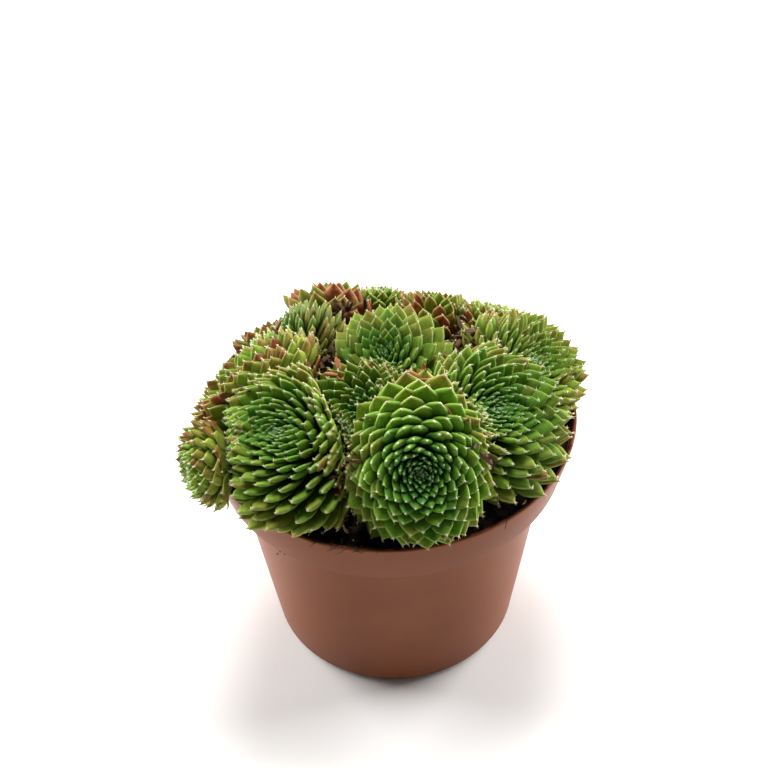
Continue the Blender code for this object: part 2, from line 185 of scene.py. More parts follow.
# The shell's outline as (radius, height, fillet): across the floor, up the inside, over the rim and down the
# outside, then under the foot back to the middle.
pot_outline = rounded(
    [
        (0.0, FLOOR_TOP, 0),
        (FOOT_INSIDE, FLOOR_TOP, 1.5),
        (WALL_INSIDE, STEP_INSIDE, 1.5),
        (BAND_INSIDE, BAND_BOTTOM + 1.2, 0.8),
        (RIM_RADIUS - RIM_WALL, RIM_HEIGHT, 0.35),
        (RIM_RADIUS, RIM_HEIGHT, 0.6),
        (BAND_BOTTOM_RADIUS, BAND_BOTTOM, 0.45),
        (WALL_TOP_RADIUS, BAND_BOTTOM - 0.3, 1.0),
        (FOOT_RADIUS, 1.2, 2.4),
        (FOOT_RING_OUTER, 0.0, 0.6),
        (FOOT_RING_INNER, 0.0, 0.3),
        (FOOT_RING_INNER - CHANNEL_SLOPE, CHANNEL_HEIGHT, 0.3),
        (FOOT_DISC + CHANNEL_SLOPE, CHANNEL_HEIGHT, 0.3),
        (FOOT_DISC, 0.0, 0.3),
        (0.0, 0.0, 0),
    ]
)
pot_mesh = turned("pot_shell", pot_outline, POT_STEPS)

# Moulded polypropylene, coloured through: a satin skin from the mould's fine matt grain, which gives soft
# wide highlights and pale edges at grazing angles, with faint flow clouding, dust and a few specks of peat.
polypropylene, tree, shader = new_material("moulded_polypropylene")
GRAIN_MM = 0.35
CLOUD_MM = 22.0
SPECK_MM = 5.0
place = add(tree, "TexCoord", out="Object")
cloud = add(
    tree, "TexNoise", {"Vector": place, "Scale": 1 / (CLOUD_MM * MM), "Detail": 3.0, "Roughness": 0.55}
)
skin = add(tree, "ValToRGB", {"Fac": cloud}, ((0.3, "743F24"), (0.7, "7C462A")))
speck = add(tree, "TexVoronoi", {"Vector": place, "Scale": 1 / (SPECK_MM * MM)})
dirt = add(tree, "MapRange", {"Value": speck, "From Min": 0.055, "From Max": 0.035, "To Max": 0.75})
thinned = add(tree, "Math", {0: cloud, 1: 0.62}, operation="GREATER_THAN")
dirt_here = add(tree, "Math", {0: dirt, 1: thinned}, operation="MULTIPLY")
painted = add(tree, "Mix", {0: dirt_here, 6: skin, 7: linear("2A1A12")}, out=2, data_type="RGBA")

# Peat has stained the rim's narrow top and its inner wall, in patches, and made them matt. The outer edge
# stays clean: how far a point lies within it is measured square to the axis, from the band's own slope.
STAIN_MM = 3.5
STAIN_FROM = 84.5
STAIN_FADE = 1.0
STAIN_WITHIN = (0.25, 0.6)
lean = (RIM_RADIUS - BAND_BOTTOM_RADIUS) / (RIM_HEIGHT - BAND_BOTTOM)
edge_place = (lean * RIM_HEIGHT - RIM_RADIUS) * MM
stain_edge = [edge_place + distance * MM for distance in STAIN_WITHIN]
flat = add(tree, "VectorMath", {0: place, 1: (1.0, 1.0, 0.0)}, operation="MULTIPLY")
from_axis = add(tree, "VectorMath", {0: flat}, out="Value", operation="LENGTH")
height = add(tree, "SeparateXYZ", {"Vector": place}, out="Z")
leaned = add(tree, "Math", {0: height, 1: lean}, operation="MULTIPLY")
within = add(tree, "Math", {0: leaned, 1: from_axis}, operation="SUBTRACT")
inside = add(tree, "MapRange", {"Value": within, "From Min": stain_edge[0], "From Max": stain_edge[1]})
fade = {"From Min": (STAIN_FROM - STAIN_FADE) * MM, "From Max": STAIN_FROM * MM}
upper = add(tree, "MapRange", {"Value": height, **fade})
patch = add(tree, "TexNoise", {"Vector": place, "Scale": 1 / (STAIN_MM * MM), "Detail": 4.0})
patches = {"From Min": 0.4, "From Max": 0.55, "To Min": 0.45, "To Max": 0.95}
patchy = add(tree, "MapRange", {"Value": patch, **patches})
stained = add(tree, "Math", {0: inside, 1: upper}, operation="MULTIPLY")
stained = add(tree, "Math", {0: stained, 1: patchy}, operation="MULTIPLY")
painted = add(tree, "Mix", {0: stained, 6: painted, 7: linear("3A160C")}, out=2, data_type="RGBA")
grain = add(tree, "TexNoise", {"Vector": place, "Scale": 1 / (GRAIN_MM * MM), "Detail": 2.0})
relief = add(tree, "Bump", {"Height": grain, "Strength": 0.12, "Distance": 0.05 * MM})
gloss = add(tree, "MapRange", {"Value": cloud, "To Min": 0.36, "To Max": 0.5})
rough = add(tree, "Mix", {0: stained, 2: gloss, 3: 1.0}, data_type="FLOAT")
feed(shader, {"Base Color": painted, "Roughness": rough, "Normal": relief})
feed(shader, {"IOR": 1.49, "Specular IOR Level": 0.12})

pot = piece("pot_shell", pot_mesh, [polypropylene])
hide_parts("pot")


def punch(obj, places, radius, depth):
    """Cuts round holes straight down through a piece and applies the cut."""
    shape = bmesh.new()
    size = {"segments": HOLE_SIDES, "radius1": radius * MM, "radius2": radius * MM, "depth": depth * MM}
    for x, y, z in places:
        made = bmesh.ops.create_cone(shape, cap_ends=True, **size)
        bmesh.ops.translate(shape, vec=(x * MM, y * MM, z * MM), verts=made["verts"])
    cutter = new_object("punch", mesh_from("punch", shape))
    cut = obj.modifiers.new("Holes", "BOOLEAN")
    cut.operation = "DIFFERENCE"
    cut.object = cutter
    cut.solver = "EXACT"
    graph = bpy.context.evaluated_depsgraph_get()
    result = bpy.data.meshes.new_from_object(obj.evaluated_get(graph))
    obj.modifiers.clear()
    obj.data = result
    bpy.data.objects.remove(cutter)
    result.shade_smooth()
    result.set_sharp_from_angle(angle=HOLE_EDGE)


drain_angles = [2 * pi * (i + 0.5) / DRAIN_HOLES for i in range(DRAIN_HOLES)]
drains = [(DRAIN_CIRCLE * cos(a), DRAIN_CIRCLE * sin(a), FLOOR_TOP) for a in drain_angles]
punch(pot, drains, DRAIN_RADIUS, 4 * FLOOR_TOP)


# The peat fills the pot to just under its rim: dark, damp and crumbly, uneven on top, with loose crumbs and
# a few white grains of perlite on it. It was pressed in round the roots and lies loose at the top.
PEAT_TOP = 84.0
PEAT_SWELL = 0.7
PEAT_LUMP = 0.8
PEAT_LUMP_MM = 4.0
PEAT_CRUMB_MM = 0.35 * PEAT_LUMP_MM
PEAT_GAP = 0.3
PEAT_SHOULDER = 0.4
PEAT_STEP = 1.8
PEAT_STEPS = 200
PEAT_RING = 0.8


def peat_height(x, y):
    """The uneven top of the peat, in millimetres: slow waves of 15 to 30 mm, lumps and crumbs."""
    wave = sin(0.19 * x + 1.3) * cos(0.23 * y - 0.4) + 0.6 * sin(0.41 * x - 0.37 * y)
    lump = noise.noise(Vector((x / PEAT_LUMP_MM, y / PEAT_LUMP_MM, 0)))
    crumb = noise.noise(Vector((x, y, 7)) / PEAT_CRUMB_MM)
    return PEAT_TOP + PEAT_SWELL * wave / 1.6 + PEAT_LUMP * (lump + 0.5 * crumb)


peat_edge = BAND_INSIDE - PEAT_GAP + lean * (PEAT_TOP - BAND_BOTTOM)
peat_outline = [(radius, PEAT_TOP) for radius in np.arange(0.0, peat_edge, PEAT_RING)] + [
    (peat_edge, PEAT_TOP - PEAT_SHOULDER),
    (BAND_INSIDE - PEAT_GAP, BAND_BOTTOM + PEAT_STEP),
    (WALL_INSIDE - PEAT_GAP, STEP_INSIDE),
    (FOOT_INSIDE - PEAT_GAP, FLOOR_TOP + PEAT_STEP),
    (FOOT_INSIDE - PEAT_STEP, FLOOR_TOP + PEAT_GAP),
    (0.0, FLOOR_TOP + PEAT_GAP),
]
peat_mesh = turned("peat_plug", peat_outline, PEAT_STEPS)
for vertex in peat_mesh.vertices:
    if vertex.co.z > (PEAT_TOP - PEAT_SHOULDER / 2) * MM:
        vertex.co.z = peat_height(vertex.co.x / MM, vertex.co.y / MM) * MM

# Sphagnum peat, milled and damp: nearly black, quite rough, with brown fibre showing in it.
peat_matter, tree, shader = new_material("damp_milled_peat")
FIBRE_MM = 1.6
place = add(tree, "TexCoord", out="Object")
fibres = {"Scale": 1 / (FIBRE_MM * MM), "Detail": 8.0, "Roughness": 0.7, "Distortion": 1.2}
fibre = add(tree, "TexNoise", {"Vector": place, **fibres})
brown = add(tree, "ValToRGB", {"Fac": fibre}, ((0.35, "0B0806"), (0.55, "21170F"), (0.72, "4A3523")))
relief = add(tree, "Bump", {"Height": fibre, "Strength": 0.9, "Distance": 0.6 * MM})
feed(shader, {"Base Color": brown, "Normal": relief, "Roughness": 0.75, "Specular IOR Level": 0.12})

peat = piece("peat_plug", peat_mesh, [peat_matter])
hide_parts("peat")


class Gathering:
    """Gathers the points, faces and painted values of a piece that is made of many small shapes."""

    PAINTED = ("along", "edge", "age", "flush", "chance", "bright")

    def __init__(self):
        self.points = []
        self.faces = []
        self.materials = []
        self.painted = {name: [] for name in self.PAINTED}
        self.count = 0

    def put(self, points, faces, material=0, **painted):
        """Adds a shape, with one painted value for all of it or one for each point."""
        points = np.asarray(points, float).reshape(-1, 3)
        self.points.append(points)
        self.faces.extend(tuple(self.count + i for i in face) for face in faces)
        self.materials.extend([material] * len(faces))
        for name in self.PAINTED:
            value = np.asarray(painted.get(name, 0.0), float).ravel()
            self.painted[name].append(np.broadcast_to(value, (len(points),)))
        self.count += len(points)

    def mesh(self, name):
        """All that was gathered, as one mesh in metres."""
        mesh = bpy.data.meshes.new(name)
        points = np.concatenate(self.points) * MM
        mesh.from_pydata(points.tolist(), [], self.faces)
        mesh.polygons.foreach_set("material_index", self.materials)
        for label, values in self.painted.items():
            layer = mesh.attributes.new(label, "FLOAT", "POINT")
            layer.data.foreach_set("value", np.concatenate(values).astype(np.float32))
        return mesh


def loft_faces(rings, sides):
    """The faces of a tube of rings, closed at its root and drawn to one point."""
    faces = []
    for i in range(rings - 1):
        for j in range(sides):
            k = (j + 1) % sides
            faces.append((i * sides + j, i * sides + k, (i + 1) * sides + k, (i + 1) * sides + j))
    last = (rings - 1) * sides
    for j in range(sides):
        faces.append((last + j, last + (j + 1) % sides, rings * sides))
    faces.append(tuple(range(sides - 1, -1, -1)))
    return faces


# Loose on the peat lie crumbs of it and grains of perlite, and three crumbs cling to the wall outside. Each
# is a round of triangles, pushed in and out and stretched.
CRUMBS = 1500
CRUMB_SIZE = (0.35, 1.3)
CRUMB_REACH = peat_edge - 1.2
CRUMB_LIFT = 0.2
CRUMB_POWER = 1.5
CLINGING = ((-37.1, -32.4, 57.4), (-34.5, -36.0, 61.3), (-36.1, -34.1, 60.6))
CLINGING_SIZE = 0.34
PERLITE = 46
PERLITE_SIZE = (0.3, 0.75)
PERLITE_REACH = peat_edge - 1.5
PERLITE_LIFT = 0.5
GRAIN_STRETCH = (0.55, 1.2)
GRAIN_DENT = 0.28


def points_and_faces(shape):
    """A shape's points and faces, after which it is let go."""
    points = np.array([vertex.co for vertex in shape.verts])
    faces = [tuple(vertex.index for vertex in face.verts) for face in shape.faces]
    shape.free()
    return points, faces


def lump_shape(random, size):
    """The points and faces of an uneven grain."""
    shape = bmesh.new()
    bmesh.ops.create_icosphere(shape, subdivisions=1, radius=1.0)
    points, faces = points_and_faces(shape)
    stretch = random.uniform(*GRAIN_STRETCH, 3)
    points *= 1 + random.uniform(-GRAIN_DENT, GRAIN_DENT, (len(points), 1))
    return points * stretch * size, faces


def scatter(random, count, reach):
    """Random places on the peat within a distance of the pot's axis."""
    radius = reach * np.sqrt(random.uniform(0, 1, count))
    angle = random.uniform(0, 2 * pi, count)
    return np.stack([radius * np.cos(angle), radius * np.sin(angle)], -1)


crumb_random = np.random.default_rng(11)
crumbs = Gathering()
for x, y in scatter(crumb_random, CRUMBS, CRUMB_REACH):
    size = crumb_random.uniform(*CRUMB_SIZE) ** CRUMB_POWER
    points, faces = lump_shape(crumb_random, size)
    spot = (x, y, peat_height(x, y) + CRUMB_LIFT * size)
    crumbs.put(points + spot, faces, chance=crumb_random.uniform())
for spot in CLINGING:
    points, faces = lump_shape(crumb_random, CLINGING_SIZE)
    crumbs.put(points + spot, faces)
piece("peat_crumbs", crumbs.mesh("peat_crumbs"), [peat_matter])

# Expanded perlite: white foamed glass, matt, with fine pits, which are painted grey as shade in them.
perlite_matter, tree, shader = new_material("expanded_perlite")
PIT_MM = 0.4
place = add(tree, "TexCoord", out="Object")
pits = add(tree, "TexVoronoi", {"Vector": place, "Scale": 1 / (PIT_MM * MM)})
# The grey at the middle of each pit is painted shade; the rest is the glass's own white.
white = add(tree, "ValToRGB", {"Fac": pits}, ((0.1, "9A9488"), (0.6, "E4E1D8")))
relief = add(tree, "Bump", {"Height": pits, "Strength": 0.6, "Distance": 0.1 * MM})
feed(shader, {"Base Color": white, "Normal": relief, "Roughness": 0.9})

perlite_random = np.random.default_rng(5)
grains = Gathering()
for x, y in scatter(perlite_random, PERLITE, PERLITE_REACH):
    size = perlite_random.uniform(*PERLITE_SIZE)
    points, faces = lump_shape(perlite_random, size)
    grains.put(points + (x, y, peat_height(x, y) + PERLITE_LIFT * size), faces)
piece("perlite_grains", grains.mesh("perlite_grains"), [perlite_matter])


# Each rosette is a spiral of fleshy leaves on a short stem. Its leaf tips lie on a flattened dome, and each
# leaf turns by the golden angle from the one before it. Where neighbours press, leaves stand up or stay
# shorter.
DOME_HEIGHT = 0.55
DOME_POWER = 1.2
LEAF_TURN = radians(137.508)
OPEN_ANGLE = radians(110.0)
HANGING_OPEN_ANGLE = radians(92.0)
LITTLE_SHORTER = 0.8
SHORTEST_SHARE = 0.4
MOST_CROWDED = 2.0
EDGE_MARGIN_SHARE = 0.2
FLANK_MARGIN_SHARE = 0.1
NEIGHBOUR_ROOM = 6.0
BOUND_GAP = 0.21
SOFT_EDGE = 2.2
SOFT_FLOOR = 1.2
SQUEEZES = 2
LEAF_FLOOR = 85.3
LIP_FLOOR = 89.2
LIP_RAMP = (52.5, 56.5)
LIP_CLEAR = 61.2
RUNNER_FLOOR = 91.6
RUNNER_WIDTH = (3.5, 7.5)
STEM_FOOT_RADIUS = 50.5
STEM_END = PEAT_TOP - 10.0
RUNNER_BENDS = ((54.0, 87.6), (58.5, 89.7))
HANGING = "rosette_over_rim"

LEAF_ROOT = 0.28
ROOT_SLACK = 6.0
SLACK_TO = 0.7
SPREAD_POWER = 1.12
LEAF_SPACING_SHARE = 0.4
FIRST_LEAF = 0.7
LEAVES_PER_AREA = 0.29
LEAVES_MORE = 12

# Where a leaf may stand is searched in these steps: of the angle from the axis, and of its full length.
SEARCH_FROM = radians(4.0)
SEARCH_STEP = radians(1.5)
SEARCH_PAST = 0.01
REACH_SHARES = np.linspace(0.3, 1.0, 29)

# For each rosette: centre of its fan, the way it faces round the pot (0 is the front, 90 the right), its
# rise above the horizontal, its radius, how hard it presses on its neighbours, its stem's radius, and how
# much narrower it is than tall.
ROSETTES = {
    "rosette_front": ((8.0, -39.0, 103.2), 3, 32, 27.5, 25.5, 3.0, 0.17),
    "rosette_front_left": ((-29.5, -26.0, 96.5), -36, 62, 30.5, 29.0, 3.0, 0.0),
    "rosette_middle": ((-6.5, -17.0, 98.0), -12, 48, 22.0, 30.0, 2.6, 0.0),
    "rosette_front_right": ((28.5, -22.0, 99.0), 38, 62, 27.5, 26.0, 3.0, 0.0),
    "rosette_crown": ((1.0, 4.3, 103.2), -20, 64, 20.5, 21.8, 3.0, 0.0),
    "rosette_over_rim": ((-53.6, -28.2, 95.6), -66, 6, 15.0, 5.5, 1.2, 0.0),
    "rosette_left": ((-37.0, -2.5, 94.5), -128, 30, 28.0, 26.0, 3.0, 0.0),
    "rosette_back_left": ((-28.0, 21.5, 93.5), -106, 40, 20.0, 18.5, 2.4, 0.0),
    "rosette_back": ((-16.5, 42.0, 87.0), 172, 34, 22.0, 21.0, 2.4, 0.0),
    "rosette_back_right": ((17.5, 36.5, 86.5), 168, 42, 22.0, 21.0, 2.4, 0.0),
    "rosette_right": ((40.5, 8.0, 91.0), 62, 58, 25.5, 25.0, 3.0, 0.0),
    "offset_back_left": ((-39.5, 30.0, 88.0), -150, 40, 14.5, 13.5, 2.0, 0.0),
    "offset_back": ((-2.0, 50.5, 87.0), 178, 58, 13.0, 11.0, 2.0, 0.0),
    "offset_back_right": ((34.0, 32.0, 88.5), 150, 58, 18.0, 17.0, 2.0, 0.0),
}
# How each one's leaves look: how many there are against the usual, their width against their spacing, how
# blunt their ends are, how far they bend over (degrees) and which way (as the facing and rise above), how
# flushed they are, how large their tufts are, how light the youngest are, and how much all their colour is
# scaled: a painted light and shade for how much light falls on that rosette, with some tone of its own.
HABITS = {
    "rosette_front": (1.2, 1.75, 1.15, 26, (6, 30), 0.45, 1.2, 0.1, 1.14),
    "rosette_front_left": (1.1, 1.3, 0.95, 40, (-64, 26), 0.4, 1.1, 0.3, 1.04),
    "rosette_middle": (2.0, 1.15, 0.95, 20, (-40, 40), 0.4, 1.2, 0.25, 0.8),
    "rosette_front_right": (1.05, 1.4, 0.95, 36, (64, 20), 0.45, 1.2, 0.2, 0.84),
    "rosette_crown": (1.1, 1.6, 1.05, 24, (180, 48), 0.5, 0.7, 0.2, 0.78),
    "rosette_over_rim": (1.8, 1.5, 1.05, 40, (-74, 8), 0.75, 1.0, 0.4, 1.2),
    "rosette_left": (1.8, 1.6, 1.05, 20, (-118, 35), 1.0, 0.9, 0.3, 1.16),
    "rosette_back_left": (2.0, 1.5, 1.05, 24, (180, 48), 0.4, 0.5, 0.15, 0.5),
    "rosette_back": (0.8, 1.5, 0.9, 22, (172, 34), 1.8, 0.6, 0.2, 0.75),
    "rosette_back_right": (1.9, 1.2, 0.95, 16, (168, 42), 1.1, 0.7, 0.3, 1.05),
    "rosette_right": (1.3, 1.25, 0.9, 28, (90, 40), 0.45, 1.1, 0.55, 0.88),
    "offset_back_left": (0.8, 1.4, 0.9, 20, (-150, 40), 2.2, 0.7, 0.2, 0.95),
    "offset_back": (1.3, 1.25, 0.95, 14, (178, 58), 1.4, 0.9, 0.2, 1.0),
    "offset_back_right": (1.5, 1.2, 0.9, 14, (130, 58), 0.9, 0.9, 0.5, 1.1),
}


def smooth_step(low, high, value):
    """A smooth rise from 0 at the low value to 1 at the high one."""
    share = np.clip((value - low) / (high - low), 0.0, 1.0)
    return share * share * (3 - 2 * share)


def floor_under(points):
    """The lowest height a leaf may reach: over the peat, the pot's lip and the runner across it."""
    radius = np.hypot(points[..., 0], points[..., 1])
    floor = LEAF_FLOOR + (LIP_FLOOR - LEAF_FLOOR) * smooth_step(*LIP_RAMP, radius)
    hanging = np.array(ROSETTES[HANGING][0][:2])
    outward = hanging / np.linalg.norm(hanging)
    along = np.clip(points[..., :2] @ outward, STEM_FOOT_RADIUS, RIM_RADIUS)
    aside = np.linalg.norm(points[..., :2] - along[..., None] * outward, axis=-1)
    runner = LEAF_FLOOR + (RUNNER_FLOOR - LEAF_FLOOR) * (1 - smooth_step(*RUNNER_WIDTH, aside))
    return np.maximum(floor, runner)


def dome(angle):
    """How far the leaf tips stand from the centre at an angle from the axis, as a share of the radius."""
    return DOME_HEIGHT + (1 - DOME_HEIGHT) * np.sin(np.clip(angle, 0, pi / 2)) ** DOME_POWER


def heading(facing, rise):
    """The unit vector that faces one way round the pot and rises above the horizontal, both in degrees."""
    turn = radians(facing)
    lift = radians(rise)
    return np.array((sin(turn) * cos(lift), -cos(turn) * cos(lift), sin(lift)))


class Rosette:
    """One rosette's place, axis, size and the flat bounds where its neighbours press on it."""

    def __init__(self, name, centre, facing, rise, radius, push, stem, narrow):
        self.centre = np.array(centre)
        self.axis = heading(facing, rise)
        self.across = heading(facing + 90, 0)
        self.along = np.cross(self.axis, self.across)
        self.radius = radius
        self.narrow = narrow
        many, self.breadth, self.blunt, bend, over, *colours = HABITS[name]
        self.flush, self.tuft, self.light, self.bright = colours
        self.bend = tan(radians(bend)) * (1 - LEAF_ROOT)
        self.over = heading(*over)
        self.leaves = round(many * LEAVES_PER_AREA * radius * radius + LEAVES_MORE)
        self.push = push
        self.stem = stem
        self.hangs = name == HANGING
        self.open_angle = HANGING_OPEN_ANGLE if self.hangs else OPEN_ANGLE
        self.bounds = []
        inward = min(1.0, STEM_FOOT_RADIUS / max(float(np.hypot(*self.centre[:2])), 1.0))
        self.foot = (self.centre[0] * inward, self.centre[1] * inward)

    def direction(self, turn):
        """The unit vector square to the axis at a turn about it."""
        return cos(turn) * self.across + sin(turn) * self.along

    def outward(self, turn, angle):
        """The unit vectors at a turn about the axis and at one angle from it, or at several."""
        angle = np.asarray(angle)[..., None]
        return np.cos(angle) * self.axis + np.sin(angle) * self.direction(turn)

    def full_reach(self, turn, angle):
        """How far a full leaf's tip stands from the centre; a narrow rosette is less wide than it is tall."""
        return self.radius * dome(angle) * (1 - self.narrow * (cos(turn) * np.sin(angle)) ** 2)

    def meet(self, others):
        """Finds the flat bounds, one for each neighbour."""
        for other in others:
            offset = other.centre - self.centre
            distance = float(np.linalg.norm(offset))
            if other is self or distance > self.radius + other.radius + NEIGHBOUR_ROOM:
                continue
            reach = distance * self.push / (self.push + other.push) - BOUND_GAP
            self.bounds.append((offset / distance, reach))

    def clear(self, tips, margin):
        """Which of the points lie inside the bounds and over the peat by a margin."""
        inside = np.ones(len(tips), bool)
        for normal, distance in self.bounds:
            inside &= (tips - self.centre) @ normal <= distance - margin
        above = tips[:, 2] >= floor_under(tips) + margin
        if self.hangs:
            above |= np.hypot(tips[:, 0], tips[:, 1]) >= LIP_CLEAR + margin
        return inside & above

    def last_clear(self, choices, tips, margin):
        """The last of the choices before the one whose tip is first in the way of something."""
        blocked = np.nonzero(~self.clear(tips, margin))[0]
        return float(choices[max(blocked[0] - 1, 0) if len(blocked) else -1])

    def open_to(self, turn, margin):
        """The widest angle from the axis at which a full leaf in this direction is clear of the bounds."""
        angles = np.arange(SEARCH_FROM, self.open_angle + SEARCH_PAST, SEARCH_STEP)
        tips = self.centre + self.full_reach(turn, angles)[:, None] * self.outward(turn, angles)
        return self.last_clear(angles, tips, margin)

    def reach_share(self, turn, angle, margin):
        """The share of its full length that a leaf in this direction has before it meets a bound."""
        reach = float(self.full_reach(turn, angle))
        tips = self.centre + reach * REACH_SHARES[:, None] * self.outward(turn, angle)
        return self.last_clear(REACH_SHARES, tips, margin)

    def squeeze(self, points, slack):
        """Presses points softly back inside the bounds, so that no leaf crosses another rosette.

        The slack, in millimetres, lets the hidden roots of the leaves interlock.
        """
        points = points.copy()
        for _ in range(SQUEEZES):
            for normal, distance in self.bounds:
                reach = (points - self.centre) @ normal
                start = distance - SOFT_EDGE + slack
                pressed = start + SOFT_EDGE * np.tanh((reach - start) / SOFT_EDGE)
                moved = np.where(reach > start, pressed - reach, 0.0)
                points += moved[..., None] * normal
            if self.hangs:
                reach = np.hypot(points[..., 0], points[..., 1])
                drop = LIP_FLOOR - points[..., 2]
                beside = (drop > LIP_CLEAR - reach) & (drop > 0) & (reach < LIP_CLEAR)
                over = (drop > 0) & (reach < LIP_CLEAR) & ~beside
                points[..., :2] *= np.where(beside, LIP_CLEAR / reach, 1.0)[..., None]
                points[..., 2] = np.where(over, LIP_FLOOR, points[..., 2])
            else:
                floor = floor_under(points)
                above = np.minimum(points[..., 2] - floor, SOFT_FLOOR)
                raised = floor + SOFT_FLOOR * np.exp((above - SOFT_FLOOR) / SOFT_FLOOR)
                low = points[..., 2] < floor + SOFT_FLOOR
                points[..., 2] = np.where(low, raised, points[..., 2])
        return points

    def pitch(self, angle):
        """The distance between leaf tips at an angle from the axis, in millimetres."""
        reach = self.radius * float(dome(angle))
        share = (angle / self.open_angle) ** (1 / SPREAD_POWER)
        step = self.open_angle * SPREAD_POWER * share ** (SPREAD_POWER - 1) / self.leaves
        return sqrt(2 * pi * reach * reach * sin(min(angle, pi / 2)) * step)

    def placed_leaves(self):
        """Each leaf's turn, angle from the axis, length, pitch and age, from the middle outwards.

        The fan is closed up where it would cross a bound, and a leaf that finds no room there lies lower
        on that side and is shorter.
        """
        placed = []
        tips = []
        for k in range(self.leaves):
            share = (k + FIRST_LEAF) / self.leaves
            turn = k * LEAF_TURN + self.radius
            spread = share**SPREAD_POWER
            flank = spread * self.open_angle
            pitch = self.pitch(flank)
            widest = self.open_to(turn, EDGE_MARGIN_SHARE * pitch)
            crowding = min(MOST_CROWDED, self.open_angle / widest)
            fanned = widest * (crowding * spread - (crowding - 1) * spread * spread)
            reach = self.reach_share(turn, flank, FLANK_MARGIN_SHARE * pitch)
            choices = [(min(flank, fanned), 1.0)]
            if reach > LITTLE_SHORTER:
                choices = [(flank, reach)]
            elif reach > SHORTEST_SHARE:
                choices.append((flank, reach))
            for angle, reach in choices:
                length = reach * float(self.full_reach(turn, angle))
                tip = self.centre + length * self.outward(turn, angle)
                near = LEAF_SPACING_SHARE * self.pitch(angle)
                if tips and np.linalg.norm(np.array(tips) - tip, axis=1).min() < near:
                    continue
                tips.append(tip)
                wide = sqrt(self.pitch(angle) * pitch)
                placed.append((turn, angle, length, wide, share))
        return placed


rosettes = {name: Rosette(name, *values) for name, values in ROSETTES.items()}
for one in rosettes.values():
    one.meet(rosettes.values())

# A leaf is a thick tongue: flat or a little hollow above, round and keeled below, widest near its end, which
# runs out in a blunt point with a stiff white bristle and a tuft of short hairs. The real hairs are finer
# than these, which are as thick as they need to be to show.
LEAF_SHARES = (0.0, 0.2, 0.38, 0.53, 0.65, 0.76, 0.85, 0.92, 0.97)
LEAF_SIDES = 12
LEAF_SLACK = [ROOT_SLACK * max(0.0, 1 - share / SLACK_TO) for share in LEAF_SHARES]
YOUNG_WIDTH_SHARE = 1.4
YOUNGEST_WIDTH = 1.1
YOUNG_BLUNT = 0.7
GROWN_FROM = 0.5
LEAF_THICKNESS = (0.36, 0.34)
LEAF_SHOULDER = 3.6
ROOT_BREADTH = 0.6
FULL_BREADTH_FROM = 0.75
END_ROUNDING = 2.8
ROOT_DEPTH = 0.8
UPPER_DEPTH = 0.42
LOWER_DEPTH = 0.58
KEEL = 0.3
KEEL_POWER = 4
SECTION_POWER = 0.8

# How much single leaves differ: in turn, angle, twist, length, width and flush.
TURN_SPREAD = 0.04
ANGLE_SPREAD = 0.02
TWIST_SPREAD = 0.12
LENGTH_SPREAD = 0.02
WIDTH_RANGE = (0.9, 1.1)
FLUSH_LEAST = 0.35
FLUSH_MORE = 1.5

BRISTLE_LENGTH = 0.9
BRISTLE_RADIUS = 0.3
BRISTLE_LIFT = 0.5
BRISTLE_ROOT = 0.3
HAIR_LENGTH = 1.25
HAIR_LENGTH_RANGE = (0.5, 1.0)
HAIR_RADIUS = 0.12
HAIR_SPREAD = 0.75
HAIR_ROOT = 0.1
HAIRS = 5
YOUNGEST_BRISTLE = 0.6
NEEDLE_TAPER = 0.6
LEAF_FACES = loft_faces(len(LEAF_SHARES), LEAF_SIDES)
BRISTLE_FACES = loft_faces(2, 5)
HAIR_FACES = loft_faces(1, 3)


def unit(vector):
    """Vectors made one long."""
    return vector / np.linalg.norm(vector, axis=-1, keepdims=True)


def ring_points(middle, way, aside, radius, sides):
    """A ring of points about a way, starting from the side that is square to it and to a third direction."""
    side = unit(np.cross(way, aside))
    other = np.cross(way, side)
    turns = [2 * pi * j / sides for j in range(sides)]
    return [middle + radius * (cos(turn) * side + sin(turn) * other) for turn in turns]


def needle(start, way, length, radius, sides, rings):
    """The points of a thin spike."""
    way = unit(way)
    points = []
    for i in range(rings):
        share = i / rings
        middle = start + way * length * share
        points += ring_points(middle, way, (0.31, 0.47, 0.83), radius * (1 - NEEDLE_TAPER * share), sides)
    points.append(start + way * length)
    return np.array(points)


def tube(route, radius, sides, taper=1.0):
    """A round tube along a route, closed at its root and ending in a point."""
    route = np.array(route, float)
    ahead = unit(np.gradient(route, axis=0))
    points = []
    for i, (middle, way) in enumerate(zip(route, ahead)):
        wide = radius * (1 + (taper - 1) * i / (len(route) - 1))
        points += ring_points(middle, way, (0.9, 0.3, 0.1), wide, sides)
    points.append(route[-1] + ahead[-1] * radius * taper)
    return np.array(points), loft_faces(len(route), sides)


